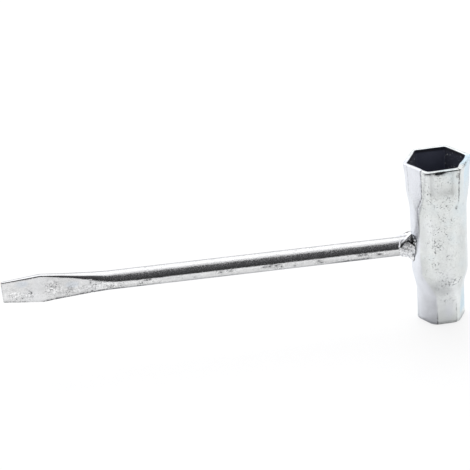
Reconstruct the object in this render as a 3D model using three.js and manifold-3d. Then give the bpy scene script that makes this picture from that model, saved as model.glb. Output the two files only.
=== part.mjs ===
// Chainsaw T-wrench, in millimetres: a steel tube with a hexagon socket swaged into each end, and a round
// bar, forged to a screwdriver blade at its far end, welded square to the side of the tube.
// +Z runs up the tube from the nut socket to the plug socket, and the bar points along -X.
// The origin lies under the middle of the whole tool, level with the rim of the nut socket.

import * as THREE from "three";
import { mergeVertices } from "three/addons/utils/BufferGeometryUtils.js";
import Module from "manifold-3d";

const { degToRad, lerp, smoothstep } = THREE.MathUtils;

// Tube: its round middle, and the edges of both rims
const tubeLength = 66.5;
const tubeDiameter = 21.5;
const tubeWall = 1.7;
const rimRadius = 0.5; // rolled outer edge
const leadIn = 0.5; // inner chamfer that guides a hexagon in
const socketClearance = 0.2; // across flats, over the hexagon that a socket turns
const socketCornerRadius = 0.8;
const cornerTurn = 3; // degrees from the bar round to the nearest corner of both hexagons

// Plug socket, at the top of the tube
const plugHexagon = 19;
const plugSocketDepth = 9.5;
const plugSwageLength = 11;
const plugMouthWall = 1.9; // the mouth is upset a little thicker than the wall below it
const plugRootWall = 1.5;
const plugMouthCornerRadius = 2;
const plugRootCornerRadius = 4;

// Nut socket, at the bottom of the tube
const nutHexagon = 13;
const nutSocketDepth = 11;
const nutSwageLength = 10.5;
const nutWall = 2.05; // the tube's wall, thickened by drawing it in
const nutCornerRadius = 4.4;

// Bar, from the tube to the tip of its blade
const barDiameter = 7.4;
const barHeight = 31.6; // of its axis, over the rim of the nut socket
const barReach = 167.2; // from the tube's axis to the tip
const seatClearance = 0.3;

// Blade: a flat wedge from the tip to its shoulder, where it is widest, then a hollow run-out to the bar
const bladeTipWidth = 8.6;
const bladeTipThickness = 1.2;
const bladeShoulderWidth = 11.7;
const bladeShoulderThickness = 1.95;
const bladeWedgeLength = 15;
const bladeNeckLength = 25.4; // from the shoulder to where the bar has its own width
const bladeNeckPower = 1.25; // by which the neck eases into the bar
const bladeRunoutLength = 26.5; // from the shoulder to where the flats end

// Weld: a collar round the bar, laid mostly underneath. Its legs are measured from the bar's skin.
const weldLength = 4.6;
const weldLegTop = 1;
const weldLegSide = 1.6;
const weldLegBottom = 4;
const weldEdge = 0.25; // thickness of the collar where it thins out along the bar
const weldSlopePower = 1.2; // by which it swells towards the tube: nearly straight above and beside the bar
const weldHollowPower = 2.8; // and well hollowed underneath

// Facets
const stepsPerHalfSide = 6;
const cornerCrowding = 1.5; // power by which a ring's points draw together at the corners
const swageSteps = 7;
const boreSwageSteps = 5;
const mouthSteps = 4;
const rimSteps = 3;
const barSides = 36;
const runoutSteps = 15;
const weldSides = 40;
const weldSteps = 6;
const cutterSides = 96;

const halfSide = Math.PI / 6; // angle from a hexagon's corner to the middle of its side
const cornerCount = 6;

const plated = new THREE.MeshStandardMaterial({ color: "#c6cad0", roughness: 0.32, metalness: 1 });
const weldMetal = new THREE.MeshStandardMaterial({ color: "#b3b5b8", roughness: 0.5, metalness: 1 });

// A skin through a list of rings with as many points each. Where the list doesn't close on itself, both
// ends get a flat cap, fanned from its middle.
function skin(rings, closed) {
  const count = rings[0].length;
  const points = rings.flat();
  const triangles = [];
  const spans = closed ? rings.length : rings.length - 1;
  for (let ring = 0; ring < spans; ring += 1) {
    const here = ring * count;
    const there = ((ring + 1) % rings.length) * count;
    for (let side = 0; side < count; side += 1) {
      const next = (side + 1) % count;
      triangles.push(here + side, here + next, there + next);
      triangles.push(here + side, there + next, there + side);
    }
  }
  if (!closed) {
    for (const [ring, flip] of [[0, true], [rings.length - 1, false]]) {
      const middle = points.length;
      const centre = rings[ring].reduce((sum, point) => sum.add(point), new THREE.Vector3());
      points.push(centre.divideScalar(count));
      for (let side = 0; side < count; side += 1) {
        const here = ring * count + side;
        const next = ring * count + (side + 1) % count;
        triangles.push(middle, flip ? next : here, flip ? here : next);
      }
    }
  }
  const geometry = new THREE.BufferGeometry().setFromPoints(points);
  geometry.setIndex(triangles);
  geometry.computeVertexNormals();
  return geometry;
}

// Distance from the centre of a hexagon with rounded corners to its outline, at an angle from the nearest
// corner. A corner radius of half the distance across flats makes the outline a circle.
function hexagonRadius(across, corner, angle) {
  const flat = across / 2;
  const arcCentre = (flat - corner) / Math.cos(halfSide);
  const arcEnd = Math.atan2(corner * Math.sin(halfSide), arcCentre + corner * Math.cos(halfSide));
  if (angle > arcEnd) {
    return flat / Math.cos(halfSide - angle);
  }
  return arcCentre * Math.cos(angle) + Math.sqrt(corner ** 2 - (arcCentre * Math.sin(angle)) ** 2);
}

// Directions in which a ring of the tube has its points, with their offsets from the nearest corner
function ringDirections() {
  const directions = [];
  for (let corner = 0; corner < cornerCount; corner += 1) {
    for (let step = 1 - stepsPerHalfSide; step <= stepsPerHalfSide; step += 1) {
      const offset = halfSide * (Math.abs(step) / stepsPerHalfSide) ** cornerCrowding;
      const turn = degToRad(cornerTurn) + corner * 2 * halfSide + Math.sign(step) * offset;
      directions.push({ offset, turn });
    }
  }
  return directions;
}

const directions = ringDirections();

function hexagonRing({ height, across, corner }) {
  return directions.map(({ offset, turn }) => {
    const radius = hexagonRadius(across, corner, offset);
    return new THREE.Vector3(radius * Math.cos(turn), radius * Math.sin(turn), height);
  });
}

const level = (height, across, corner) => ({ height, across, corner });

const round = (height, diameter) => level(height, diameter, diameter / 2);

// The same outline drawn in by an inset, or out by a negative one, at another height
const inset = (from, height, by) => level(height, from.across - 2 * by, from.corner - by);

// Levels that lead from one to another, without the first, by a curve from 0 to 1
function ease(from, to, steps, curve) {
  return Array.from({ length: steps }, (unused, index) => {
    const along = (index + 1) / steps;
    const share = curve(along);
    return level(
      lerp(from.height, to.height, along),
      lerp(from.across, to.across, share),
      lerp(from.corner, to.corner, share),
    );
  });
}

const swage = (along) => smoothstep(along, 0, 1);
const flare = (along) => 1 - Math.cos(along * Math.PI / 2);
const rollOut = (along) => Math.sqrt(1 - (1 - along) ** 2);
const rollIn = (along) => 1 - Math.sqrt(1 - along ** 2);

function socketTube() {
  const plugRoot = tubeLength - plugSocketDepth;
  const roundTop = plugRoot - plugSwageLength;
  const roundBottom = nutSocketDepth + nutSwageLength;
  const boreDiameter = tubeDiameter - 2 * tubeWall;

  const plugInside = level(plugRoot, plugHexagon + socketClearance, socketCornerRadius);
  const nutInside = level(nutSocketDepth, nutHexagon + socketClearance, socketCornerRadius);
  const nutOutside = level(nutSocketDepth, nutInside.across + 2 * nutWall, nutCornerRadius);
  const plugOutside = level(plugRoot, plugInside.across + 2 * plugRootWall, plugRootCornerRadius);
  const mouth = level(tubeLength - rimRadius, plugInside.across + 2 * plugMouthWall, plugMouthCornerRadius);

  const nutFace = inset(nutOutside, 0, rimRadius);
  const plugFace = inset(mouth, tubeLength, rimRadius);

  const outside = [
    nutFace,
    ...ease(nutFace, inset(nutOutside, rimRadius, 0), rimSteps, rollOut),
    nutOutside,
    ...ease(nutOutside, round(roundBottom, tubeDiameter), swageSteps, swage),
    round(roundTop, tubeDiameter),
    ...ease(round(roundTop, tubeDiameter), plugOutside, swageSteps, swage),
    ...ease(plugOutside, mouth, mouthSteps, flare),
    ...ease(mouth, plugFace, rimSteps, rollIn),
  ];
  const inside = [
    inset(plugInside, tubeLength, -leadIn),
    inset(plugInside, tubeLength - leadIn, 0),
    plugInside,
    ...ease(plugInside, round(roundTop, boreDiameter), boreSwageSteps, swage),
    round(roundBottom, boreDiameter),
    ...ease(round(roundBottom, boreDiameter), nutInside, boreSwageSteps, swage),
    inset(nutInside, leadIn, 0),
    inset(nutInside, 0, -leadIn),
  ];
  return skin([...outside, ...inside].map(hexagonRing), true);
}

// Width of the bar across the blade, at a distance from the tip
function bladeWidth(fromTip) {
  if (fromTip < bladeWedgeLength) {
    return lerp(bladeTipWidth, bladeShoulderWidth, fromTip / bladeWedgeLength);
  }
  const toBar = Math.max(0, 1 - (fromTip - bladeWedgeLength) / bladeNeckLength);
  return lerp(barDiameter, bladeShoulderWidth, toBar ** bladeNeckPower);
}

// Thickness between the blade's flats: the wedge, hollowed out past the shoulder up to the skin of the bar
function bladeThickness(fromTip) {
  const wedge = (length) => lerp(bladeTipThickness, bladeShoulderThickness, length / bladeWedgeLength);
  const along = Math.max(0, fromTip - bladeWedgeLength) / bladeRunoutLength;
  if (along >= 1) {
    return barDiameter;
  }
  return wedge(fromTip) + (barDiameter - wedge(bladeWedgeLength + bladeRunoutLength)) * along ** 2;
}

// A section of the bar, square to it: an ellipse as high as the blade is wide and as deep as the bar,
// with its front and back sheared off flat where the blade is thinner than the bar
function barRing(fromTip) {
  const halfWidth = bladeWidth(fromTip) / 2;
  const pointsPerEdge = barSides / 2;
  const widest = Math.PI / 2 - Math.PI / barSides;
  const reach = Math.min(widest, Math.asin(Math.min(1, bladeThickness(fromTip) / barDiameter)));
  return Array.from({ length: barSides }, (unused, index) => {
    const upper = index < pointsPerEdge;
    const along = (index % pointsPerEdge) / (pointsPerEdge - 1);
    const angle = lerp(-reach, reach, along);
    const depth = barDiameter / 2 * Math.sin(angle);
    const height = halfWidth * Math.cos(angle);
    return new THREE.Vector3(fromTip - barReach, upper ? -depth : depth, upper ? height : -height);
  });
}

const spread = (from, to, steps) =>
  Array.from({ length: steps }, (unused, index) => lerp(from, to, (index + 1) / steps));

function handleBar() {
  const seat = barReach - tubeDiameter / 2 - seatClearance;
  const runout = spread(bladeWedgeLength, bladeWedgeLength + bladeRunoutLength, runoutSteps);
  const stations = [0, bladeWedgeLength, ...runout, seat];
  return skin(stations.map(barRing), false);
}

const wasm = await Module();
wasm.setup();

function solidOf(geometry) {
  const bare = new THREE.BufferGeometry();
  bare.setAttribute("position", geometry.getAttribute("position"));
  bare.setIndex(geometry.getIndex());
  const merged = mergeVertices(bare);
  const vertProperties = new Float32Array(merged.getAttribute("position").array);
  const triVerts = new Uint32Array(merged.getIndex().array);
  return new wasm.Manifold(new wasm.Mesh({ numProp: 3, vertProperties, triVerts }));
}

function geometryOf(solid) {
  const { vertProperties, triVerts } = solid.getMesh();
  const geometry = new THREE.BufferGeometry();
  geometry.setAttribute("position", new THREE.BufferAttribute(vertProperties, 3));
  geometry.setIndex(new THREE.BufferAttribute(triVerts, 1));
  geometry.computeVertexNormals();
  return geometry;
}

// A section of the weld, square to the bar: an egg with its own legs above, beside and below the bar.
// The share is how far along the weld it is, from the bar's side to the tube.
function weldRing(x, share) {
  const edge = barDiameter / 2 + seatClearance + weldEdge;
  return Array.from({ length: weldSides }, (unused, index) => {
    const angle = index / weldSides * 2 * Math.PI;
    const upward = Math.sin(angle);
    const swell = share ** lerp(weldSlopePower, weldHollowPower, Math.max(0, -upward));
    const leg = (length) => lerp(edge, barDiameter / 2 + length, swell);
    const height = upward * leg(upward > 0 ? weldLegTop : weldLegBottom);
    return new THREE.Vector3(x, leg(weldLegSide) * Math.cos(angle), height);
  });
}

// The weld's collar: a hollow fillet from the bar to the tube, carried on into the tube, then cut back
// from the tube's skin and bored for the bar
function weldFillet() {
  const tubeRadius = tubeDiameter / 2;
  const rings = [];
  for (let step = 0; step <= weldSteps; step += 1) {
    const share = step / weldSteps;
    rings.push(weldRing(weldLength * (share - 1) - tubeRadius, share));
  }
  rings.push(weldRing(-tubeRadius / 2, 1));
  const tube = new THREE.CylinderGeometry(
    tubeRadius + seatClearance,
    tubeRadius + seatClearance,
    tubeLength,
    cutterSides,
  );
  tube.rotateX(Math.PI / 2);
  const bar = new THREE.CylinderGeometry(
    barDiameter / 2 + seatClearance,
    barDiameter / 2 + seatClearance,
    2 * barReach,
    barSides,
  );
  bar.rotateZ(Math.PI / 2);
  return geometryOf(solidOf(skin(rings, false)).subtract(solidOf(tube)).subtract(solidOf(bar)));
}

function piece(name, geometry, material, height) {
  const mesh = new THREE.Mesh(geometry, material);
  mesh.name = name;
  mesh.position.z = height;
  return mesh;
}

const tube = piece("socket_tube", socketTube(), plated, 0);
const bar = piece("handle_bar", handleBar(), plated, barHeight);
const weld = piece("weld_fillet", weldFillet(), weldMetal, barHeight);

const wrench = new THREE.Group();
wrench.add(tube, bar, weld);
tube.geometry.computeBoundingBox();
wrench.position.x = (barReach - tube.geometry.boundingBox.max.x) / 2;

export default wrench;
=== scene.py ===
"""Chainsaw T-wrench: zinc-plated socket tube, handle bar with a screwdriver blade, and the weld between them.

Lengths are in millimetres until a mesh is made, which is in metres. Each piece is lofted about its own axis:
the tube about a line up Z, and the bar and the weld about a line along X, from the blade to the tube.
"""

import math

import bpy
import numpy as np
from mathutils import Matrix, Vector, noise


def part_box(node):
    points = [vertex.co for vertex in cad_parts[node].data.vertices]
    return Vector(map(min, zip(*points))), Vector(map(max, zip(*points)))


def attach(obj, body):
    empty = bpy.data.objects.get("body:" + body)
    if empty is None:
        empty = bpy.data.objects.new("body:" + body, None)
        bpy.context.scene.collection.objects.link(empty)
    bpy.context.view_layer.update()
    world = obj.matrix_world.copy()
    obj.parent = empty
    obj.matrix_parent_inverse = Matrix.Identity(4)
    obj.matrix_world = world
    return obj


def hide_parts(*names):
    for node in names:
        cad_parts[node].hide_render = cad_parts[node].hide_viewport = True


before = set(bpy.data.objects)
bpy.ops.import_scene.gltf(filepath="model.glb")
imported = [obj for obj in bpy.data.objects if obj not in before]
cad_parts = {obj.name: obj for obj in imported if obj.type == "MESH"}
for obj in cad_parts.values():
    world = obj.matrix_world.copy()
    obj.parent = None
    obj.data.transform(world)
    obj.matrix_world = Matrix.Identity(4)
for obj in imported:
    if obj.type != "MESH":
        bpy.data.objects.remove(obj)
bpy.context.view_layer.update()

MM = 0.001

# Sizes and places that the frame gives
tube_low, tube_high = (np.array(corner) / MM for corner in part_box("socket_tube"))
bar_low, bar_high = (np.array(corner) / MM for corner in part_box("handle_bar"))
tube_x = (tube_low[0] + tube_high[0]) / 2
tube_length = tube_high[2]
bar_z = (bar_low[2] + bar_high[2]) / 2
bar_diameter = bar_high[1] - bar_low[1]
shoulder_width = bar_high[2] - bar_low[2]
tip_x = bar_low[0]

# How far the tube and the bar stay inside their solids
SKIN = 0.02

# Tube
TUBE_DIAMETER = 21.5
TUBE_WALL = 1.7
SOCKET_TURN = math.radians(3)
PLUG_ACROSS = 19.2
PLUG_DEPTH = 9.5
PLUG_SWAGE = 11.0
PLUG_MOUTH_WALL = 1.9
PLUG_ROOT_WALL = 1.5
PLUG_MOUTH_CORNER = 2.0
PLUG_ROOT_CORNER = 4.0
NUT_ACROSS = 13.2
NUT_DEPTH = 11.0
NUT_SWAGE = 10.5
NUT_WALL = 2.05
NUT_STRAIGHT = 12.2
NUT_SWAGE_END = 22.0
NUT_CORNER = 4.4
SOCKET_CORNER = 0.8
RIM_ROLL = 0.35
LEAD_IN = 0.45
# Depths of the tube's unevenness
SWAGE_WAVES = 0.10
DIE_LINE_DEPTH = 0.05
RIM_HAMMERING = 0.26
PLUG_RIM_WAVES = 0.14
NUT_RIM_WAVES = 0.10
# How deep the grain of the tube's surface is
SMOOTH_GRIT, PITTED_GRIT = 0.07, 0.18

# Turns about the tube's axis are in degrees from +X, so that the front is at -90 and the bar is at 180.
# Lines along the edges of the flats: turn, and how plain the line there is
PLUG_DIE_LINES = (
    (-112.0, 0.2), (-72.0, 0.15), (-60.0, 1.5), (-6.7, 0.3), (12.7, 0.8),
    (53.3, 0.2), (72.7, 0.7), (113.3, 0.6), (132.7, 0.2), (173.3, 0.3), (-167.3, 0.3),
)
NUT_DIE_LINES = (
    (-110.0, 1.0), (-123.5, 0.1), (-61.0, 0.25), (-50.5, 0.1), (-3.5, 0.6), (9.5, 0.3),
    (56.5, 0.2), (69.5, 0.9), (116.5, 0.5), (129.5, 0.2), (176.5, 0.3), (-170.5, 0.6),
)
PLUG_LINE_WIDTH = 1.1
NUT_LINE_WIDTH = 1.5
# A line that runs from a flat's edge down on to the round body: its turn at each height, and how plain it is
RUN_HEIGHTS = (37.0, 40.0, 43.0, 46.5, 50.0, 51.5, 55.0, 67.0)
RUN_TURNS = (-145.5, -145.5, -145.3, -146.5, -145.0, -140.5, -132.0, -131.0)
RUN_PLAIN = (0.0, 1.0, 1.1, 1.1, 1.1, 1.1, 0.9, 0.9)
RUN_WIDTH = 1.3

# Soft patches on the tube: turn, height, spread of each, and strength. First the deeper scars of the dies
DIE_SCARS = ((-61, 6.6, 1.5, 1.2, 0.9), (-63, 64.0, 2.2, 0.8, 1.5), (-63.5, 50.2, 2.5, 0.8, 1.2))
# Pits and hairlines
PIT_PATCHES = (
    (-84, 38, 36, 11, 0.8), (-112, 40, 16, 8, 0.5), (-104, 26, 26, 7, 0.7), (-78, 18.5, 20, 2.6, 1.6),
    (-80, 11.3, 18, 2.4, 1.8), (-120, 56, 16, 7, 0.7), (-78, 51, 30, 5, 0.6), (-88, 63, 26, 3.0, 0.9),
    (-52, 17.5, 10, 2.5, 1.6), (20, 34, 30, 10, 1.0), (80, 40, 28, 8, 1.1), (140, 28, 30, 9, 1.0),
    (100, 12, 25, 5, 1.0), (40, 58, 25, 6, 0.8),
)
# Patches of painted shade, and of painted light below zero
TUBE_SHADES = (
    (-70, 16, 16, 3.5, -0.18), (-118, 16, 12, 3, 0.17), (-48, 32, 14, 13, 0.13), (-141, 26, 2.5, 7, 0.08),
    (-135, 21, 14, 6, 0.06), (-118, 40, 12, 16, -0.05), (-138, 27, 12, 5, 0.05),
)
# Dark dashes along the plug socket's rim, partly marks and partly painted shadow under its lip, with the
# depth below it for the height
RIM_DASHES = (
    (-97, 0.7, 12, 0.6, 0.9), (-118, 0.5, 8, 0.35, 1.1), (-36, 0.35, 14, 0.45, 1.1), (-78, 0.4, 26, 0.9, 0.2),
    (-90, 1.2, 13, 0.7, 0.45),
)
# How far the plug socket's mouth is out of true: turn, spread and distance outwards
MOUTH_BULGES = (
    (-177, 22, 0.25), (-128, 8, 0.40), (-115, 6, -0.10), (-56, 6, -0.15), (-40, 14, -0.50), (3, 10, -0.30),
    (86, 24, 0.22), (122, 16, 0.45), (150, 14, 0.15),
)
# Where the rim's outer edge is hammered rounder: turn, spread and strength
HAMMERED_SPOTS = ((-100, 5, 1.2), (-90, 4, 0.9))
# Dents: turn, height, size and depth
DENTS = (
    (-100, 40, 3.0, 0.12), (-76, 29, 2.2, 0.10), (-125, 24, 2.5, 0.10), (-60, 44, 2.0, 0.08),
    (40, 36, 3.0, 0.14), (95, 27, 2.6, 0.12), (140, 43, 2.4, 0.10), (70, 48, 2.0, 0.09),
    (-85, 60, 3.5, 0.10), (150, 59, 3.0, 0.10), (30, 7, 2.5, 0.08), (-130, 6, 2.2, 0.07),
)
# Turns at which the plating goes lavender on the left and cyan on the right, partly its own tint and partly
# painted reflection of tinted surroundings, by height, and the width in degrees over which it does
TINT_HEIGHTS = (0, 12, 22, 45, 53, 67)
LAVENDER_EDGE = (-111, -111, -140, -147, -133, -130)
LAVENDER_SOFTNESS = (3, 5, 8, 8, 4, 3)
CYAN_EDGE = (-49, -47, -14, -8, -41, -43)
CYAN_SOFTNESS = 13.0
# How strong the cyan is, by height
CYAN_HEIGHTS = (5, 9, 14, 53, 57, 62)
CYAN_STRENGTH = (1, 0.7, 0.1, 0.1, 0.4, 1)

# Bar and blade
BAR_SIDES = 112
TIP_RINGS = 6
BLADE_RINGS = 150
DRAWN_RINGS = 300
FINE_MARGIN = 6.0
BAR_SINK = 0.4
TIP_WIDTH = 8.6
TIP_THICKNESS = 1.2
TIP_ROUND = 0.18
SHOULDER_THICKNESS = 1.95
WEDGE_LENGTH = 15.0
NECK_LENGTH = 25.4
NECK_POWER = 1.25
RUNOUT_LENGTH = 26.5
BLADE_EDGE_SHARPNESS = 26.0
NECK_EDGE_SHARPNESS = 10.0
RUNOUT_EDGE_SHARPNESS = 6.5
# Where the dies ended, and the low crease there
DIE_END = 33.8
CREASE_WIDTH = 0.4
CREASE_DEPTH = 0.12
# The drawn bar and the forged blade: depth of their waves, density of their pits, and depth of their grain
DRAWN_WAVES, FORGED_WAVES = 0.012, 0.072
DRAWN_PITS, FORGED_PITS = 0.34, 0.18
DRAWN_GRIT, FORGED_GRIT = 2.4, 0.4
FORGED_RIPPLES = 0.03
# How plain the dark lines are along the upper edge, the tip and the crease
UPPER_EDGE_DARKENING = 0.65
TIP_WEAR = 0.4
CREASE_DARKENING = 0.9
# The same for a painted shade line along the lower edge of the front, as seen from the front and above, by
# the distance from the tip
LOWER_LINE_PLACES = (0.0, 8.0, 10.0, 13.8, 15.2, 36.0, 44.0, 60.0, 122.0, 128.0, 138.0, 142.0)
LOWER_SHADE_LINE = (0.9, 0.9, 0.3, 0.2, 1.4, 1.4, 1.3, 0.5, 0.5, 1.5, 1.5, 0.5)
LOWER_LINE_WIDTH = 0.95
LOWER_EDGE_TURN = math.radians(27)

# Soft patches on the bar and blade: distance from the tip, height over the axis, spread of each, and
# strength. First the pits and hairlines
BAR_PITS = (
    (3.8, -0.6, 2.2, 2.0, 1.6), (7.5, -2.2, 4.0, 1.4, 1.5), (10.0, -0.8, 1.8, 2.2, 1.0),
    (19.5, 0.0, 2.8, 3.2, 1.6), (24.0, -1.8, 3.0, 1.6, 1.5), (28.0, -1.2, 2.0, 1.4, 1.2),
    (36, -0.5, 5.0, 3.0, 0.9), (43, -1.0, 4.0, 2.0, 1.6), (55, -2.0, 7.0, 1.5, 1.2),
    (103, -0.5, 5.0, 1.8, 1.8), (120.5, -0.8, 2.0, 1.2, 1.6), (128, -2.5, 7.0, 1.2, 1.8),
    (137, -0.2, 2.0, 1.2, 1.6), (144, -0.5, 2.5, 1.2, 1.6), (85, -0.2, 4.0, 1.0, 1.4),
)
# Dark nicks
BAR_NICKS = (
    (51.5, 0.7, 1.3, 0.35, 1.2), (55.0, 0.1, 1.5, 0.38, 1.4), (60.0, 0.65, 1.3, 0.38, 1.2),
    (73.1, -1.4, 0.6, 0.6, 0.7), (83.1, 0.0, 0.6, 0.45, 1.0), (86.5, -0.2, 0.8, 0.38, 0.9),
    (99.7, -0.3, 1.0, 0.38, 1.4), (101.6, -0.3, 0.6, 0.45, 1.4), (102.3, 0.4, 0.6, 0.38, 1.2),
    (103.9, -0.3, 0.7, 0.45, 1.4), (111.0, -1.3, 0.5, 0.7, 0.9), (120.2, -0.4, 0.8, 0.45, 1.4),
    (121.3, -1.2, 0.8, 0.38, 1.1), (134.0, -2.3, 3.0, 0.35, 1.0), (138.6, -1.8, 1.8, 0.35, 1.2),
    (136.0, -0.2, 0.8, 0.45, 1.4), (138.2, 0.0, 0.8, 0.45, 1.4), (143.5, -0.5, 1.0, 0.45, 1.5),
)
# Darker patches, and lighter ones below zero
BLADE_SHADES = ((13.5, 2.4, 3.0, 1.6, 0.04), (7.0, 2.0, 5.0, 2.5, 0.05), (19.5, -4.0, 5.5, 1.8, -0.08))
# Bluish patches
BLADE_TINTS = ((8.3, 2.9, 3.2, 1.6, -1.6), (26.8, 0.8, 3.0, 1.5, -1.6))

# Weld, by the angle down either side of the bar: its top is at 90 degrees, each flank at 180, and its
# underside at 270
WELD_SIDES = 216
WELD_RINGS = 96
WELD_FLANKS = (90, 99, 116, 130, 140, 151, 165, 180, 200, 223, 235, 247, 270)
WELD_LENGTHS = (1.6, 2.45, 4.1, 5.0, 5.3, 5.6, 5.5, 5.4, 5.3, 5.0, 4.7, 4.4, 4.2)
WELD_LEGS = (1.2, 1.5, 1.8, 1.9, 1.8, 1.4, 0.95, 0.8, 0.9, 1.2, 2.2, 3.4, 4.0)
WELD_SLOPE_POWER = 1.2
WELD_HOLLOW_POWER = 2.8
WELD_SINK = 0.15
WELD_SEAT = 0.35
WELD_LIP = 0.4
WELD_CREST = 0.15
WELD_TOE_ROUND = 0.25
WELD_LUMPS = 0.15
# Slag, partly painted shade where it widens at the tube: its edges on each flank, by the place along X from
# the tube's axis
SLAG_PLACES = (-16.3, -15.7, -15.4, -14.7, -13.9, -13.3, -12.3, -11.3, -10.7, -10.2)
SLAG_TOP = (161.0, 155.0, 149.0, 139.0, 129.0, 123.5, 113.0, 103.0, 93.0, 98.0)
SLAG_BOTTOM = (166.5, 166.0, 161.5, 153.0, 142.5, 135.5, 140.0, 150.5, 157.5, 162.0)

# Colours. The tints are lavender, plain and cyan for the tube, its lavender and cyan partly painted
# reflection, and bluish, plain and warm for the bar
TUBE_TINTS_AND_REFLECTIONS = ((0.74, 0.755, 0.79, 1.0), (0.73, 0.75, 0.735, 1.0), (0.605, 0.73, 0.795, 1.0))
BAR_TINTS = ((0.655, 0.68, 0.71, 1.0), (0.73, 0.73, 0.725, 1.0), (0.72, 0.725, 0.73, 1.0))
# Dark worn edges, and painted shade along edges and rims
WORN_AND_SHADED_EDGE = (0.07, 0.07, 0.075, 1.0)
PIT = (0.10, 0.105, 0.11, 1.0)
OILED_STEEL = ((0.10, 0.11, 0.16, 1.0), (0.16, 0.17, 0.23, 1.0))
BARE_SPECK = (0.40, 0.41, 0.42, 1.0)
# Painted shadow just inside the socket's rim
UNDER_RIM_SHADOW_COLOUR = (0.015, 0.015, 0.018, 1.0)
WELD_ZINC = ((0.88, 0.89, 0.90, 1.0), (0.99, 0.99, 0.99, 1.0))
WELD_SEAM = (0.10, 0.10, 0.11, 1.0)
# Black slag, and painted shade in the seam and recess by the tube
SLAG_AND_SHADE_BLACK = (0.012, 0.012, 0.013, 1.0)
# Metals' mirror images at a grazing angle
PALE_EDGE = (0.84, 0.86, 0.88, 1.0)
GREY_EDGE = (0.48, 0.49, 0.51, 1.0)
# Stage
WHITE = (1.0, 1.0, 1.0, 1.0)
PAPER = (0.97, 0.97, 0.965, 1.0)
LEFT_WALL = (1.17, 1.17, 1.22, 1.0)
RIGHT_WALL = (1.17, 1.175, 1.185, 1.0)
DARK_ROOM = (0.05, 0.05, 0.053, 1.0)
DARK_ROOM_ABOVE = (0.085, 0.085, 0.09, 1.0)
# How the dark room's wedge narrows to the sides, and where its soft edge starts and ends
ROOM_NARROWING = 0.5
ROOM_EDGE = (-0.34, 0.08)

# Scales of the materials' noise, per metre
CLOUD_SCALE = 70.0
CLUSTER_SCALE = 240.0
MOTTLE_SCALE = 330.0
HAIR_SCALE = 700.0
STREAK_SCALE = 900.0
SPOT_SCALE = 1300.0
GRAIN_SCALE = 1400.0
SPECK_SCALE = 2300.0
FLECK_SCALE = 2600.0
SOCKET_CLOUD_SCALE = 260.0
SOCKET_SPECK_SCALE = 1000.0
WELD_LUMP_SCALE = 800.0
WELD_SEAM_SCALE = 850.0
WELD_GRIT_SCALE = 2100.0
# Widths of the hairlines, as a share of the noise's range
HAIR_WIDTH = 0.022
SEAM_WIDTH = 0.04
# Depths of the bumps, in metres
PLATING_RELIEF = 0.00003
SOCKET_RELIEF = 0.00006
WELD_RELIEF = 0.00018

# The photograph's camera
CAMERA_AZIMUTH = math.radians(-3.174)
CAMERA_ELEVATION = math.radians(27.177)
CAMERA_ROLL = math.radians(-5.154)
CAMERA_DISTANCE = 656.9
TARGET_FROM_TUBE = (-77.56, 0.0, 44.47)
CAMERA_LENS = 133.65
SENSOR = 36.0

# Stage, in metres
FLOOR_FRONT = -0.15
FLOOR_REACH = 2.0
FLOOR_GLOW = 0.8
FLOOR_MIRRORED_GLOW = 0.15
# Most of the lamps' light is kept out of the metal's mirror images, where it would clip
LAMP_SIZE = 1.0
LAMP_AIM = (0.0, 0.0, 0.0)
LAMP_PLACE = (0.0, 0.7, 0.9)
LAMP_POWER = 5.3
SHEEN_PLACE = (0.0, 0.66, 0.85)
SHEEN_POWER = 1.2


# Numbers

def smoothstep(value):
    value = np.clip(value, 0.0, 1.0)
    return value * value * (3 - 2 * value)


def fade(value, start, end):
    """A smooth step from 0 at the start to 1 at the end, which may be the lower one."""
    return smoothstep((value - start) / (end - start))


def lerp(start, end, share):
    return start + (end - start) * share


def bump(value, middle, width):
    return np.exp(-((value - middle) / width) ** 2)


def turn_from(turn, middle):
    """Signed angle, in degrees, from one turn in degrees to others in radians."""
    return (np.degrees(turn) - middle + 180) % 360 - 180


def wobble(points, scale, seed):
    """Smooth noise from -1 to 1 at points in millimetres, over lumps about scale across."""
    shape = points.shape[:-1]
    offset = Vector((seed * 17.0, seed * 31.0, seed * 47.0))
    values = [noise.noise(Vector(point / scale) + offset) for point in points.reshape(-1, 3)]
    return np.array(values).reshape(shape)


def waves(points, scale, seed):
    """Smooth noise as from wobble, but from 0 to 1."""
    return 0.5 + 0.5 * wobble(points, scale, seed)


# Meshes

def loft(name, rings, closed, masks):
    """A skin of quads through rings of points, in millimetres, closed on itself or capped at both ends.

    The masks are numbers for each point, kept in the mesh under their names for the materials to read.
    """
    levels, count = rings.shape[:2]
    points = rings.reshape(-1, 3)
    here = np.arange(count)
    following = np.roll(here, -1)
    faces = []
    for level in range(levels if closed else levels - 1):
        low = level * count
        high = (level + 1) % levels * count
        faces += np.stack([low + here, low + following, high + following, high + here], 1).tolist()
    if not closed:
        faces.append(here[::-1].tolist())
        faces.append((here + (levels - 1) * count).tolist())
    mesh = bpy.data.meshes.new(name)
    mesh.from_pydata((points * MM).tolist(), [], faces)
    mesh.shade_smooth()
    if not closed:
        for cap in mesh.polygons[-2:]:
            cap.use_smooth = False
    for label, values in masks.items():
        layer = mesh.attributes.new(label, "FLOAT", "POINT")
        layer.data.foreach_set("value", np.ravel(values).astype(np.float32))
    mesh.update()
    made = bpy.data.objects.new(name, mesh)
    bpy.context.scene.collection.objects.link(made)
    return made


# Socket tube

def hexagon_radius(across, corner, offset):
    """Distance from the centre of a rounded hexagon to its outline, at offsets from the nearest corner."""
    half_side = math.pi / 6
    flat = across / 2
    centre = (flat - corner) / math.cos(half_side)
    arc_end = math.atan2(corner * math.sin(half_side), centre + corner * math.cos(half_side))
    on_arc = np.minimum(offset, arc_end)
    arc = centre * np.cos(on_arc) + np.sqrt(corner ** 2 - (centre * np.sin(on_arc)) ** 2)
    return np.where(offset > arc_end, flat / np.cos(half_side - offset), arc)


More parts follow.
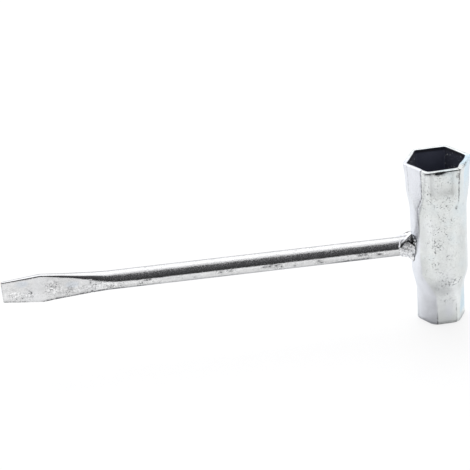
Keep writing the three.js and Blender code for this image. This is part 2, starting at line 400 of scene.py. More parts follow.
def ring_directions(steps_per_half_side=26, crowding=1.35):
    """Offsets from the nearest corner, and turns about the tube's axis, closest together at the corners."""
    step = np.arange(1 - steps_per_half_side, steps_per_half_side + 1)
    offset = math.pi / 6 * (np.abs(step) / steps_per_half_side) ** crowding
    corners = SOCKET_TURN + np.arange(6) * math.pi / 3
    turn = np.concatenate([corner + np.sign(step) * offset for corner in corners])
    return np.tile(offset, 6), turn


def tube_levels():
    """Rows of height, distance across flats and corner radius: up the outside, then down the inside."""
    plug_root = tube_length - PLUG_DEPTH
    round_top = plug_root - PLUG_SWAGE
    round_bottom = NUT_DEPTH + NUT_SWAGE
    bore = TUBE_DIAMETER - 2 * TUBE_WALL
    nut_out = (NUT_ACROSS + 2 * NUT_WALL, NUT_CORNER)
    nut_in = (NUT_ACROSS, SOCKET_CORNER)
    plug_out = (PLUG_ACROSS + 2 * PLUG_ROOT_WALL, PLUG_ROOT_CORNER)
    plug_in = (PLUG_ACROSS, SOCKET_CORNER)
    mouth_out = (PLUG_ACROSS + 2 * PLUG_MOUTH_WALL, PLUG_MOUTH_CORNER)
    tube_round = (TUBE_DIAMETER, TUBE_DIAMETER / 2)
    bore_round = (bore, bore / 2)

    def span(low, high, start, end, count, ease=lambda share: share):
        share = (np.arange(count) + 0.5) / count
        eased = ease(share)
        return np.stack([
            lerp(low, high, share), lerp(start[0], end[0], eased), lerp(start[1], end[1], eased)], 1)

    def roll(height, direction, outline, count=7):
        """The rounded outer edge of a rim, from the side wall round to its face."""
        angle = np.linspace(0, math.pi / 2, count)
        drawn = RIM_ROLL * (1 - np.cos(angle))
        level = height + direction * RIM_ROLL * (np.sin(angle) - 1)
        return np.stack([level, outline[0] - 2 * drawn, outline[1] - drawn], 1)

    def lead(height, direction, across, count=5):
        """The rounded inner edge of a rim, from its face round to the socket's wall."""
        angle = np.linspace(0, math.pi / 2, count)
        out = LEAD_IN * (1 - np.sin(angle))
        level = height - direction * LEAD_IN * (1 - np.cos(angle))
        return np.stack([level, across + 2 * out, SOCKET_CORNER + out], 1)

    def flare(share):
        return 1 - np.cos(share * math.pi / 2)

    outside = [
        roll(0, -1, nut_out)[::-1],
        span(RIM_ROLL, NUT_STRAIGHT, nut_out, nut_out, 14),
        span(NUT_STRAIGHT, NUT_SWAGE_END, nut_out, tube_round, 22, smoothstep),
        span(NUT_SWAGE_END, round_top, tube_round, tube_round, 30),
        span(round_top, plug_root, tube_round, plug_out, 22, smoothstep),
        span(plug_root, tube_length - RIM_ROLL, plug_out, mouth_out, 14, flare),
        roll(tube_length, 1, mouth_out),
    ]
    inside = [
        lead(tube_length, 1, PLUG_ACROSS),
        span(tube_length - LEAD_IN, plug_root, plug_in, plug_in, 10),
        span(plug_root, round_top, plug_in, bore_round, 14, smoothstep),
        span(round_top, round_bottom, bore_round, bore_round, 8),
        span(round_bottom, NUT_DEPTH, bore_round, nut_in, 14, smoothstep),
        span(NUT_DEPTH, LEAD_IN, nut_in, nut_in, 10),
        lead(0, -1, NUT_ACROSS)[::-1],
    ]
    return np.concatenate(outside), np.concatenate(inside)


def tube_patches(turn, height, table):
    """The sum of a table's soft patches on the tube."""
    return sum(
        strength * bump(turn_from(turn, middle), 0, wide) * bump(height, level, high)
        for middle, level, wide, high, strength in table)


def die_lines(turn, height):
    """The thin lines that the swaging dies leave along the edges of the flats, as a mask."""
    on_plug = fade(height, 51, 55)
    on_nut = fade(height, 10, 7) * (0.35 + 0.65 * bump(height, 2.2, 2.5))
    plug_lines = sum(
        plain * bump(turn_from(turn, middle), 0, PLUG_LINE_WIDTH) for middle, plain in PLUG_DIE_LINES)
    nut_lines = sum(
        plain * bump(turn_from(turn, middle), 0, NUT_LINE_WIDTH) for middle, plain in NUT_DIE_LINES)
    from_run = turn_from(turn, 0) - np.interp(height, RUN_HEIGHTS, RUN_TURNS)
    run = np.interp(height, RUN_HEIGHTS, RUN_PLAIN) * bump(from_run, 0, RUN_WIDTH)
    return on_plug * plug_lines + on_nut * nut_lines + tube_patches(turn, height, DIE_SCARS) + run


def tube_tint_and_reflection(turn, height):
    """Where the plating is lavender, below zero, and cyan, above zero, partly as painted reflection: the
    flanks, by turn and height.
    """
    at_turn = turn_from(turn, 0)
    edge = np.interp(height, TINT_HEIGHTS, LAVENDER_EDGE)
    softness = np.interp(height, TINT_HEIGHTS, LAVENDER_SOFTNESS)
    lavender = fade(at_turn, edge + softness / 2, edge - softness / 2)
    lavender = np.maximum(lavender, fade(at_turn, 150, 180))
    lavender = np.maximum(lavender, 0.45 * bump(at_turn, -80, 12) * bump(height, 5, 4))
    edge = np.interp(height, TINT_HEIGHTS, CYAN_EDGE)
    cyan = fade(at_turn, edge - CYAN_SOFTNESS / 2, edge + CYAN_SOFTNESS / 2) * fade(at_turn, 24, -6)
    cyan = cyan * fade(height, 1, 5) * np.interp(height, CYAN_HEIGHTS, CYAN_STRENGTH)
    return cyan - lavender


def tube_shade(turn, height):
    """How much darker the plating is painted as shade, lighter below zero: on the nut socket's flats, beside
    the dies' edges, and in patches.
    """
    at_turn = turn_from(turn, 0)
    nut_flank = fade(at_turn, -110, -113) * fade(at_turn, -170, -130)
    nut_front = fade(at_turn, -110, -107) * fade(at_turn, -40, -46)
    nut_right = fade(at_turn, -61, -57)
    # Painted shade on the nut socket's left flats and by its foot, a mirrored contact shadow, and painted
    # light on its front and right flats
    painted_shade = (0.24 * nut_flank - 0.09 * nut_front) * fade(height, 16, 9)
    painted_shade = painted_shade + (0.09 - 0.40 * nut_right) * fade(height, 6, 0)
    # Painted shade along the swage's hollow
    nut_hollow = 15.2 - 1.2 * np.cos(np.radians(turn_from(turn, -87) * 6))
    painted_shade = painted_shade + 0.05 * bump(height, nut_hollow, 1.6)
    # Painted reflection of the bar: a dark streak down the body's left
    painted_shade = painted_shade + 0.19 * bump(at_turn, -152.5, 5) * fade(height, 33, 38) * fade(height, 53, 48)
    # Painted shade along the plug socket's front edges
    plug_edges = bump(at_turn, -111, 4) + bump(at_turn, -72, 4)
    plug_front = 0.12 * plug_edges + 0.03 * bump(at_turn, -92, 18)
    painted_shade = painted_shade + plug_front * fade(height, 54, 58)
    return painted_shade + tube_patches(turn, height, TUBE_SHADES)


def make_tube():
    offset, turn = ring_directions()
    outside, inside = tube_levels()
    levels = np.concatenate([outside, inside])
    level = np.arange(len(levels))[:, None]
    outer = level < len(outside)
    oiled = (level > len(outside) + 1) & (level < len(levels) - 2)
    turn = np.broadcast_to(turn, (len(levels), len(offset)))
    height = np.broadcast_to(levels[:, :1], turn.shape)
    below_top = tube_length - height
    radius = np.array([hexagon_radius(across, corner, offset) - SKIN for _, across, corner in levels])
    # The plug socket's mouth is a little out of true
    mouth = ~outer * fade(below_top, 8, 0)
    for middle, spread, out in MOUTH_BULGES:
        radius = radius + out * mouth * bump(turn_from(turn, middle), 0, spread)

    def points():
        return np.stack([radius * np.cos(turn), radius * np.sin(turn), height], -1)

    # Soft unevenness left by the swaging, which only ever draws the wall in
    lines = die_lines(turn, height) * outer
    depth = SWAGE_WAVES * fade(np.minimum(height, below_top), 0, 4) * waves(points(), 9.0, 1)
    depth += DIE_LINE_DEPTH * lines
    # Dents, and an outer edge of the plug socket's rim that is hammered rounder in places
    for middle, at_height, size, deep in DENTS:
        across = np.radians(turn_from(turn, middle)) * TUBE_DIAMETER / 2
        depth += outer * deep * bump(across, 0, size) * bump(height, at_height, size)
    rounder = 0.5 * waves(points(), 3.5, 5) ** 2
    for middle, spread, strength in HAMMERED_SPOTS:
        rounder = rounder + strength * bump(turn_from(turn, middle), 0, spread)
    depth += outer * RIM_HAMMERING * rounder * fade(below_top, 1.1, 0)
    radius = radius - depth
    # Rims that are not quite level
    rim_waves = waves(points() * (1, 1, 0), 4.0, 6)
    sunk = PLUG_RIM_WAVES * fade(below_top, 2.5, 0) - NUT_RIM_WAVES * fade(height, 2.0, 0)
    height = height - rim_waves * sunk

    # Painted shade: a dark line round the nut socket's bottom rim, the mirrored contact shadow
    nut_rim_shade = 0.45 * fade(levels[:, :1], 1.5, 0.5)
    wear_and_shade = lines + outer * (nut_rim_shade + tube_patches(turn, below_top, RIM_DASHES))
    # Painted shadow just inside the plug socket's rim
    under_rim_shadow = 0.9 * fade(below_top, 2.0, 0.6)
    # Inside, the mask of where light and shade are painted: on the far wall or beside it
    beside_far_wall = fade(np.abs(turn_from(turn, 93)), 28.5, 31.5)
    pits = tube_patches(turn, height, PIT_PATCHES)
    from_weld = np.hypot(radius * np.sin(turn), height - bar_z)
    heat = outer * (np.cos(turn) < 0) * fade(from_weld, 10, 6)
    made = loft("socket_tube_plated", points() + (tube_x, 0, 0), closed=True, masks={
        "wear_and_shade": np.where(oiled, under_rim_shadow, wear_and_shade),
        # Outside: the plating's tint, partly painted reflection. Inside: where light and shade are painted
        "tint_and_painted_light": np.where(oiled, beside_far_wall, tube_tint_and_reflection(turn, height)),
        "pits": pits,
        # The heat mask also paints the plating lighter beside the weld: painted light
        "shade": tube_shade(turn, height) - 0.05 * heat,
        "heat": heat,
        "grit": lerp(SMOOTH_GRIT, PITTED_GRIT, fade(pits, 0.1, 0.4)),
    })
    for face in made.data.polygons:
        at_level = face.index // len(offset)
        face.material_index = int(len(outside) < at_level < len(levels) - 3)
    return made


# Handle bar

def blade_width(from_tip):
    wedge = lerp(TIP_WIDTH, shoulder_width, from_tip / WEDGE_LENGTH)
    to_bar = np.clip(1 - (from_tip - WEDGE_LENGTH) / NECK_LENGTH, 0, 1)
    neck = lerp(bar_diameter, shoulder_width, to_bar ** NECK_POWER)
    return np.where(from_tip < WEDGE_LENGTH, wedge, neck)


def blade_thickness(from_tip):
    def wedge(length):
        return lerp(TIP_THICKNESS, SHOULDER_THICKNESS, length / WEDGE_LENGTH)

    along = np.maximum(0, from_tip - WEDGE_LENGTH) / RUNOUT_LENGTH
    return wedge(from_tip) + (bar_diameter - wedge(WEDGE_LENGTH + RUNOUT_LENGTH)) * along ** 2


def bar_ring(from_tip, inset, turn):
    """Points round the bar, where a slab cuts an ellipse, and how dark the upper edges are drawn at each."""
    bar_radius = bar_diameter / 2 - SKIN
    width = blade_width(from_tip) / 2 - inset - SKIN
    thickness = blade_thickness(from_tip) / 2 - inset
    sharpness = lerp(BLADE_EDGE_SHARPNESS, NECK_EDGE_SHARPNESS, fade(from_tip, 13, 22))
    sharpness = lerp(sharpness, RUNOUT_EDGE_SHARPNESS, fade(from_tip, 26, 35))
    up = np.cos(turn) * width
    out = -np.sin(turn) * min(thickness, bar_radius)
    length = np.hypot(up, out)
    up, out = up / length, out / length
    slab = np.abs(out) / thickness
    ellipse = np.sqrt((up / width) ** 2 + (out / bar_radius) ** 2)
    largest = np.maximum(slab, ellipse)
    both = (slab / largest) ** sharpness + (ellipse / largest) ** sharpness
    smooth = largest * both ** (1 / sharpness)
    ring = np.stack([np.full_like(up, from_tip + tip_x), out / smooth, up / smooth], 1)
    at_edge = fade(np.minimum(slab, ellipse) / largest, 0.86, 0.96)
    return ring, UPPER_EDGE_DARKENING * at_edge * (up > 0) * fade(from_tip, 16, 10)


def bar_patches(from_tip, up, table):
    """A table's soft patches on the bar, each as a mask."""
    return [
        strength * bump(from_tip, place, wide) * bump(up, level, high)
        for place, level, wide, high, strength in table]


def make_bar():
    seat = tube_x - TUBE_DIAMETER / 2 - tip_x + BAR_SINK
    fine_end = WEDGE_LENGTH + RUNOUT_LENGTH + FINE_MARGIN
    roll = np.linspace(math.pi / 2, 0, TIP_RINGS)
    from_tip = np.concatenate([
        TIP_ROUND * (1 - np.sin(roll)),
        np.linspace(TIP_ROUND, fine_end, BLADE_RINGS)[1:],
        np.linspace(fine_end, seat, DRAWN_RINGS)[1:],
    ])
    inset = np.zeros_like(from_tip)
    inset[:TIP_RINGS] = TIP_ROUND * (1 - np.cos(roll))
    turn = np.linspace(0, 2 * math.pi, BAR_SIDES, endpoint=False)
    made = [bar_ring(place, drawn_in, turn) for place, drawn_in in zip(from_tip, inset)]
    rings = np.array([ring for ring, _ in made])
    wear_and_shade = np.array([darkened for _, darkened in made])
    from_tip = from_tip[:, None]

    wear_and_shade = np.maximum(wear_and_shade, TIP_WEAR * fade(from_tip, 0.7, 0))
    # Painted shade: a dark line along the edge that is lowest when seen from the front and LOWER_EDGE_TURN
    # above
    over_edge = rings[..., 2] * math.cos(LOWER_EDGE_TURN) + rings[..., 1] * math.sin(LOWER_EDGE_TURN)
    over_edge = over_edge - over_edge.min(axis=1, keepdims=True)
    lower_shade_line = np.interp(from_tip, LOWER_LINE_PLACES, LOWER_SHADE_LINE) * (1 + 0.6 * wobble(rings, 6.0, 12))
    wear_and_shade = np.maximum(wear_and_shade, lower_shade_line * fade(over_edge, LOWER_LINE_WIDTH, 0))
    # The forged blade is a little uneven, with a low crease where the dies ended. The drawn bar hardly is
    forged = fade(from_tip, 46, 30)
    depth = lerp(DRAWN_WAVES, FORGED_WAVES, forged) * waves(rings, 5.0, 2)
    die_end = DIE_END + 0.5 * wobble(rings, 4.0, 7)
    crease = bump(from_tip, die_end, CREASE_WIDTH) * fade(rings[..., 2], 2.6, 2.1)
    depth += CREASE_DEPTH * crease
    plain = fade(np.abs(rings[..., 2] + 0.8), 1.1, 1.7) * (rings[..., 1] < 0)
    # The crease is drawn darker at its ends on the front
    wear_and_shade = np.maximum(wear_and_shade, CREASE_DARKENING * crease * plain)
    depth += FORGED_RIPPLES * forged * np.clip(wobble(rings * (1, 0, 1), 2.2, 8), 0, 1)
    length = np.linalg.norm(rings[..., 1:], axis=-1)
    rings[..., 1:] *= (1 - depth / length)[..., None]

    up = rings[..., 2]
    for nick in bar_patches(from_tip, up, BAR_NICKS):
        wear_and_shade = np.maximum(wear_and_shade, nick)
    drawn_grit = DRAWN_GRIT * lerp(0.4, 1.0, fade(up, 0.6, 2.8))
    masks = {
        "wear_and_shade": wear_and_shade,
        "tint_and_painted_light": 0.4 * forged + sum(bar_patches(from_tip, up, BLADE_TINTS)),
        "pits": lerp(DRAWN_PITS, FORGED_PITS, forged) + sum(bar_patches(from_tip, up, BAR_PITS)),
        "shade": 0.15 * bump(from_tip, 23, 8.5) + sum(bar_patches(from_tip, up, BLADE_SHADES)),
        "grit": lerp(drawn_grit, FORGED_GRIT, forged),
    }
    masks = {label: values[:, ::-1] for label, values in masks.items()}
    rings = rings + (0, 0, bar_z)
    return loft("handle_bar_plated", rings[:, ::-1], closed=False, masks=masks)


# Weld

def slag(place, flank):
    """Where slag has stayed: a line up each flank of the bar, widening to a patch at the tube that is partly
    painted shade in the recess there.
    """
    top = np.interp(place, SLAG_PLACES, SLAG_TOP)
    bottom = np.interp(place, SLAG_PLACES, SLAG_BOTTOM)
    return fade(np.minimum(bottom - flank, flank - top), -1.5, 1.5)


def make_weld():
    tube_radius = TUBE_DIAMETER / 2
    bar_radius = bar_diameter / 2
    turn = np.linspace(0, 2 * math.pi, WELD_SIDES, endpoint=False)
    flank = 90 + np.abs(turn_from(turn, 90))
    round_bar = np.stack([np.cos(turn), np.sin(turn), 0 * turn], 1) * bar_radius
    length = np.interp(flank, WELD_FLANKS, WELD_LENGTHS) + 0.5 * wobble(round_bar, 1.2, 14)
    leg = np.interp(flank, WELD_FLANKS, WELD_LEGS)
    power = lerp(WELD_SLOPE_POWER, WELD_HOLLOW_POWER, np.maximum(0, -np.sin(turn)))
    upper = fade(flank, 165, 150)
    shares = np.linspace(0, 1, WELD_RINGS)
    rings = []
    for share in shares:
        along = share * length
        lip = WELD_LIP * fade(along, 0, 0.55) - WELD_SINK * fade(along, 0.2, 0)
        crest = WELD_CREST * upper * bump(along, 0.6, 0.35)
        toe = WELD_TOE_ROUND * fade(share, 0.86, 1.0) * fade(flank, 150, 170)
        reach = bar_radius + lip + crest + (leg - WELD_LIP) * share ** power - toe
        side = reach * np.cos(turn)
        seat = WELD_SEAT - np.sqrt(tube_radius ** 2 - side ** 2)
        place = lerp(-tube_radius - length, seat, share)
        rings.append(np.stack([place, side, reach * np.sin(turn)], 1))
    rings = np.array(rings)
    lumps = WELD_LUMPS * (wobble(rings, 1.4, 3) + wobble(rings, 0.6, 4))
    depth = lumps * fade(shares, 0, 0.10)[:, None]
    rings[..., 1:] *= (1 + depth / np.linalg.norm(rings[..., 1:], axis=-1))[..., None]

    slag_and_shade = slag(rings[..., 0], flank + 3 * wobble(rings, 0.8, 9) + 4 * wobble(rings, 0.35, 15))
    slag_and_shade = slag_and_shade * np.where(np.cos(turn) > 0, fade(flank, 106, 114), 1.0)
    # Below the bar the seam with the tube is painted black as its shade, and above it the slag is broken by
    # clean metal there
    at_toe = fade(shares, 0.895, 0.925)[:, None]
    clean = smoothstep(0.45 + 1.8 * wobble(rings, 0.7, 16))
    slag_and_shade = lerp(slag_and_shade * (1 - at_toe * clean), np.maximum(slag_and_shade, at_toe), fade(flank, 160, 166))
    bead = fade(flank - np.interp(rings[..., 0], SLAG_PLACES, SLAG_BOTTOM), 0, 5)
    rings = rings + (tube_x, 0, bar_z)
    return loft("weld_fillet_plated", rings, closed=False, masks={"slag_and_shade": slag_and_shade, "bead": bead})


# Materials

def add(tree, kind, inputs=None, **settings):
    """A node with its settings, and its inputs given as values or as other nodes' outputs."""
    made = tree.nodes.new(kind)
    for name, value in settings.items():
        setattr(made, name, value)
    for socket, value in (inputs or {}).items():
        if isinstance(value, bpy.types.NodeSocket):
            tree.links.new(value, made.inputs[socket])
        else:
            made.inputs[socket].default_value = value
    return made


def object_coords(tree):
    return add(tree, "ShaderNodeTexCoord").outputs["Object"]


def mask_of(tree, label):
    return add(tree, "ShaderNodeAttribute", attribute_name=label).outputs["Fac"]


def noise_of(tree, coords, scale, detail=2.0, roughness=0.5):
    return add(tree, "ShaderNodeTexNoise", {
        "Vector": coords, "Scale": scale, "Detail": detail, "Roughness": roughness}).outputs["Fac"]


def ramp(tree, value, low, high, start=0.0, end=1.0):
    return add(tree, "ShaderNodeMapRange", {
        "Value": value, "From Min": low, "From Max": high, "To Min": start, "To Max": end},
        interpolation_type="SMOOTHSTEP").outputs["Result"]


def math_of(tree, operation, first, second):
    return add(tree, "ShaderNodeMath", {0: first, 1: second}, operation=operation).outputs[0]


def plus(tree, first, second):
    return math_of(tree, "ADD", first, second)


def minus(tree, first, second):
    return math_of(tree, "SUBTRACT", first, second)


def times(tree, first, second):
    return math_of(tree, "MULTIPLY", first, second)


def absolute(tree, value):
    return add(tree, "ShaderNodeMath", {0: value}, operation="ABSOLUTE").outputs[0]


def mix(tree, share, first, second, blend="MIX"):
    return add(tree, "ShaderNodeMix", {0: share, 6: first, 7: second},
               data_type="RGBA", blend_type=blend).outputs[2]


def scribbles(tree, coords, scale, thickness):
    """Short curled hairlines: a contour of smooth noise, broken up by finer noise."""
    field = noise_of(tree, coords, scale, 1.0, 0.4)
    from_contour = absolute(tree, minus(tree, field, 0.5))
    line = ramp(tree, from_contour, thickness, thickness * 2.2, 1.0, 0.0)
    broken = ramp(tree, noise_of(tree, coords, scale * 2.3, 1.0), 0.50, 0.58)
    return times(tree, line, broken)


def new_material(name):
    made = bpy.data.materials.new(name)
    made.use_nodes = True
    tree = made.node_tree
    tree.nodes.clear()
    return made, tree


def finish_metal(tree, colour, roughness, height, relief, metallic=1.0, edge_tint=PALE_EDGE):
    normal = add(tree, "ShaderNodeBump", {
        "Height": height, "Distance": relief, "Strength": 1.0}).outputs["Normal"]
    shader = add(tree, "ShaderNodeBsdfPrincipled", {
        "Base Color": colour, "Roughness": roughness, "Metallic": metallic, "Normal": normal,
        "Specular Tint": edge_tint})
    add(tree, "ShaderNodeOutputMaterial", {"Surface": shader.outputs["BSDF"]})


def plating(name, tints, edge_tint, marks, speckle, streaks, roughest, heated):
    """Bright zinc: cloudy tints, a soft mottle, clustered pits and hairlines, worn edges and painted shade,
    and fine streaks.

    The tints are those that the mesh's mask for tints and painted light leads to, partly painted reflection:
    below zero, at zero and above zero. Marks and speckle are strengths, streaks is how the streaks' noise is
    scaled along each axis, and roughest is the highest roughness between the pits. Heated plating is burnt
    rougher and less metallic beside the weld, by its heat mask.
    """
    made, tree = new_material(name)
    coords = object_coords(tree)
    clouds = noise_of(tree, coords, CLOUD_SCALE, 3.0, 0.55)
    mottle = noise_of(tree, coords, MOTTLE_SCALE, 4.0, 0.6)
    grain = noise_of(tree, coords, GRAIN_SCALE, 3.0, 0.6)
    stretched = add(tree, "ShaderNodeMapping", {"Vector": coords, "Scale": streaks}).outputs["Vector"]
    lines = noise_of(tree, stretched, STREAK_SCALE, 3.0, 0.6)
    pits = mask_of(tree, "pits")
    grit = mask_of(tree, "grit")

    tint_and_painted_light = plus(tree, mask_of(tree, "tint_and_painted_light"), ramp(tree, clouds, 0.3, 0.7, -0.35, 0.35))
    colour = mix(tree, ramp(tree, tint_and_painted_light, 0.0, 1.0), tints[1], tints[2])
    colour = mix(tree, ramp(tree, tint_and_painted_light, -1.0, 0.0), tints[0], colour)
    # Painted shade from the shade mask, and painted light where it is below zero, over the mottle
    shade = minus(tree, ramp(tree, mottle, 0.3, 0.72, 0.93, 1.03), mask_of(tree, "shade"))
    speckled = plus(tree, grain, ramp(tree, lines, 0.3, 0.7, -0.1, 0.1))
    speckled = times(tree, ramp(tree, speckled, 0.3, 0.7, -speckle, speckle), pits)
    colour = mix(tree, 1.0, colour, plus(tree, shade, speckled), "MULTIPLY")

    cluster = times(tree, ramp(tree, noise_of(tree, coords, CLUSTER_SCALE), 0.40, 0.58), pits)
    spots = ramp(tree, noise_of(tree, coords, SPOT_SCALE), 0.64, 0.71)
    hairs = scribbles(tree, coords, HAIR_SCALE, HAIR_WIDTH)
    specks = ramp(tree, noise_of(tree, coords, SPECK_SCALE), 0.57, 0.72, 0.0, 0.35)
    marked = times(tree, math_of(tree, "MAXIMUM", spots, hairs), cluster)
    marked = math_of(tree, "MAXIMUM", marked, times(tree, specks, pits))
    marked = times(tree, math_of(tree, "MINIMUM", marked, 1.0), marks)
    # Dark wear, and painted shade, from the wear mask
    darkened = times(tree, mask_of(tree, "wear_and_shade"), ramp(tree, grain, 0.42, 0.56, 0.25, 1.0))
    colour = mix(tree, math_of(tree, "MINIMUM", darkened, 0.9), colour, WORN_AND_SHADED_EDGE)
    colour = mix(tree, marked, colour, PIT)

    roughness = ramp(tree, mottle, 0.25, 0.8, 0.6 * roughest, roughest)
    roughness = plus(tree, roughness, times(tree, marked, 0.3))
    flecks = ramp(tree, noise_of(tree, coords, FLECK_SCALE), 0.44, 0.64, 0.0, 0.24)
    roughness = plus(tree, roughness, times(tree, flecks, ramp(tree, grit, 0.5, 2.4)))
    height = times(tree, grain, grit)
    height = plus(tree, height, times(tree, lines, 0.30))
    height = plus(tree, height, times(tree, mottle, 0.5))
    height = minus(tree, height, times(tree, marked, 0.6))
    metallic = 1.0
    if heated:
        heat = mask_of(tree, "heat")
        roughness = plus(tree, roughness, times(tree, heat, 0.5))
        metallic = ramp(tree, heat, 0.0, 1.0, 1.0, 0.1)
    finish_metal(tree, colour, roughness, height, PLATING_RELIEF, metallic, edge_tint)
    return made


def inside_steel(name):
    """The sockets' inside, where the plating hardly reaches: dark oiled steel with a few bright specks,
    painted lighter on the far wall and darker on the others, with a painted shadow just below the rim.
    """
    made, tree = new_material(name)
    coords = object_coords(tree)
    clouds = noise_of(tree, coords, SOCKET_CLOUD_SCALE, 3.0, 0.6)
    beside_far_wall = mask_of(tree, "tint_and_painted_light")
    colour = mix(tree, clouds, *OILED_STEEL)
    # Painted light on the far wall, and painted shade on the others
    colour = mix(tree, 1.0, colour, ramp(tree, beside_far_wall, 0.0, 1.0, 1.45, 0.55), "MULTIPLY")
    specks = ramp(tree, noise_of(tree, coords, SOCKET_SPECK_SCALE), 0.62, 0.70)
    specks = times(tree, specks, ramp(tree, beside_far_wall, 0.0, 1.0, 0.18, 1.0))
    colour = mix(tree, specks, colour, BARE_SPECK)
    # Painted shadow just below the plug socket's rim
    colour = mix(tree, mask_of(tree, "wear_and_shade"), colour, UNDER_RIM_SHADOW_COLOUR)
    roughness = ramp(tree, clouds, 0.3, 0.7, 0.7, 0.9)
    finish_metal(tree, colour, roughness, clouds, SOCKET_RELIEF, metallic=0.2)
    return made


def weld_metal(name):
    """Plated weld: zinc over a coarse, spattered skin with dark seams, black slag where it stayed, and
    painted shade in the seam with the tube.
    """
    made, tree = new_material(name)
    coords = object_coords(tree)
    lumps = noise_of(tree, coords, WELD_LUMP_SCALE, 3.0, 0.6)
    grit = noise_of(tree, coords, WELD_GRIT_SCALE, 2.0, 0.6)
    seams = scribbles(tree, coords, WELD_SEAM_SCALE, SEAM_WIDTH)
    seams = times(tree, seams, mask_of(tree, "bead"))
    colour = mix(tree, ramp(tree, lumps, 0.35, 0.65), *WELD_ZINC)
    colour = mix(tree, times(tree, seams, 0.75), colour, WELD_SEAM)
    # Black slag, and painted shade along the seam with the tube
    dark_slag_and_shade = times(tree, mask_of(tree, "slag_and_shade"), ramp(tree, grit, 0.36, 0.48, 0.35, 1.0))
    colour = mix(tree, dark_slag_and_shade, colour, SLAG_AND_SHADE_BLACK)
    roughness = ramp(tree, grit, 0.3, 0.7, 0.32, 0.5)
    height = plus(tree, lumps, times(tree, grit, 0.35))
    height = minus(tree, height, times(tree, seams, 0.4))
    finish_metal(tree, colour, roughness, height, WELD_RELIEF)
    return made


# Stage

def make_floor():
    """A pale sheet that ends a little in front of the tool, so that the bar mirrors the dark room beyond."""
    mesh = bpy.data.meshes.new("floor")
    corners = [
        (-FLOOR_REACH, FLOOR_FRONT, 0), (FLOOR_REACH, FLOOR_FRONT, 0),
        (FLOOR_REACH, FLOOR_REACH, 0), (-FLOOR_REACH, FLOOR_REACH, 0),
    ]
    mesh.from_pydata(corners, [], [(0, 1, 2, 3)])
    floor = bpy.data.objects.new("floor", mesh)
    bpy.context.scene.collection.objects.link(floor)
    made, tree = new_material("pale_floor")
    path = add(tree, "ShaderNodeLightPath").outputs
    mirrored = math_of(tree, "MAXIMUM", path["Is Glossy Ray"], path["Is Transmission Ray"])
    share = times(tree, path["Is Camera Ray"], FLOOR_GLOW)
    share = plus(tree, share, times(tree, mirrored, FLOOR_MIRRORED_GLOW))
    paper = add(tree, "ShaderNodeBsdfDiffuse", {"Color": PAPER})
    glow = add(tree, "ShaderNodeEmission", {"Color": WHITE, "Strength": 1.0})
    both = add(tree, "ShaderNodeMixShader", {0: share, 1: paper.outputs[0], 2: glow.outputs[0]})
    add(tree, "ShaderNodeOutputMaterial", {"Surface": both.outputs[0]})
    mesh.materials.append(made)


def make_world():
    """A dark room behind the camera, in a wedge that narrows overhead, and white walls all round the rest."""
    world = bpy.data.worlds.new("studio")
    bpy.context.scene.world = world
    world.use_nodes = True
    tree = world.node_tree
    tree.nodes.clear()
    direction = add(tree, "ShaderNodeTexCoord").outputs["Generated"]
    towards = add(tree, "ShaderNodeSeparateXYZ", {0: direction}).outputs
    sideways = times(tree, absolute(tree, towards["X"]), ROOM_NARROWING)
    open_wall = ramp(tree, plus(tree, towards["Y"], sideways), *ROOM_EDGE)
    walls = mix(tree, ramp(tree, towards["X"], -0.6, 0.6), LEFT_WALL, RIGHT_WALL)
    room = mix(tree, ramp(tree, towards["Z"], 0.0, 0.7), DARK_ROOM, DARK_ROOM_ABOVE)
    studio = mix(tree, open_wall, room, walls)
    path = add(tree, "ShaderNodeLightPath").outputs
    seen = mix(tree, path["Is Camera Ray"], studio, WHITE)
    background = add(tree, "ShaderNodeBackground", {"Color": seen, "Strength": 1.0})
    add(tree, "ShaderNodeOutputWorld", {"Surface": background.outputs[0]})


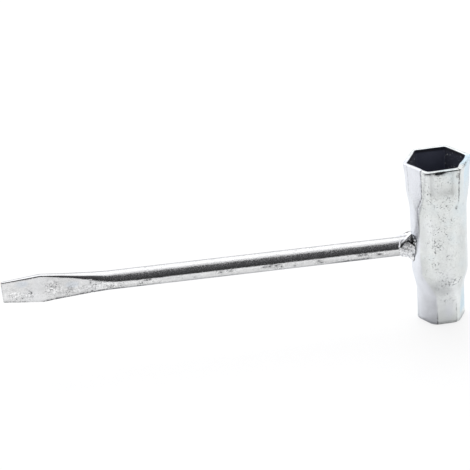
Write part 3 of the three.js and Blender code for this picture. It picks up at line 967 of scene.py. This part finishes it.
def make_lamp(name, place, power, mirrored):
    """A round lamp, which shows in mirror images or not."""
    data = bpy.data.lights.new(name, "AREA")
    data.shape = "DISK"
    data.size = LAMP_SIZE
    data.energy = power
    lamp = bpy.data.objects.new(name, data)
    lamp.location = place
    lamp.visible_glossy = mirrored
    lamp.rotation_euler = (Vector(LAMP_AIM) - Vector(place)).to_track_quat("-Z", "Y").to_euler()
    bpy.context.scene.collection.objects.link(lamp)


def make_camera():
    back = Vector((
        math.sin(CAMERA_AZIMUTH) * math.cos(CAMERA_ELEVATION),
        -math.cos(CAMERA_AZIMUTH) * math.cos(CAMERA_ELEVATION),
        math.sin(CAMERA_ELEVATION),
    ))
    level = Vector((math.cos(CAMERA_AZIMUTH), math.sin(CAMERA_AZIMUTH), 0))
    upright = back.cross(level)
    right = math.cos(CAMERA_ROLL) * level + math.sin(CAMERA_ROLL) * upright
    up = math.cos(CAMERA_ROLL) * upright - math.sin(CAMERA_ROLL) * level
    target = (Vector(TARGET_FROM_TUBE) + Vector((tube_x, 0, 0))) * MM
    data = bpy.data.cameras.new("camera")
    data.sensor_width = SENSOR
    data.lens = CAMERA_LENS
    camera = bpy.data.objects.new("camera", data)
    turn = Matrix((right, up, back)).transposed().to_4x4()
    camera.matrix_world = Matrix.Translation(target + back * CAMERA_DISTANCE * MM) @ turn
    bpy.context.scene.collection.objects.link(camera)
    bpy.context.scene.camera = camera


make_camera()
make_world()
make_floor()
make_lamp("overhead", LAMP_PLACE, LAMP_POWER, mirrored=False)
make_lamp("overhead_sheen", SHEEN_PLACE, SHEEN_POWER, mirrored=True)

tube = make_tube()
tube.data.materials.append(plating(
    "zinc_on_tube", TUBE_TINTS_AND_REFLECTIONS, PALE_EDGE,
    marks=0.85, speckle=0.04, streaks=(1.0, 1.0, 0.2), roughest=0.28, heated=True))
tube.data.materials.append(inside_steel("dark_socket_steel"))
bar = make_bar()
bar.data.materials.append(plating(
    "zinc_on_bar", BAR_TINTS, GREY_EDGE,
    marks=0.8, speckle=0.16, streaks=(0.15, 1.0, 1.0), roughest=0.2, heated=False))
weld = make_weld()
weld.data.materials.append(weld_metal("zinc_on_weld"))

for piece, node, slot in (
    (tube, "socket_tube", "tube_plating"),
    (bar, "handle_bar", "bar_plating"),
    (weld, "weld_fillet", "weld_metal"),
):
    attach(piece, "root")
    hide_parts(node)

bpy.context.scene.view_settings.view_transform = "Standard"
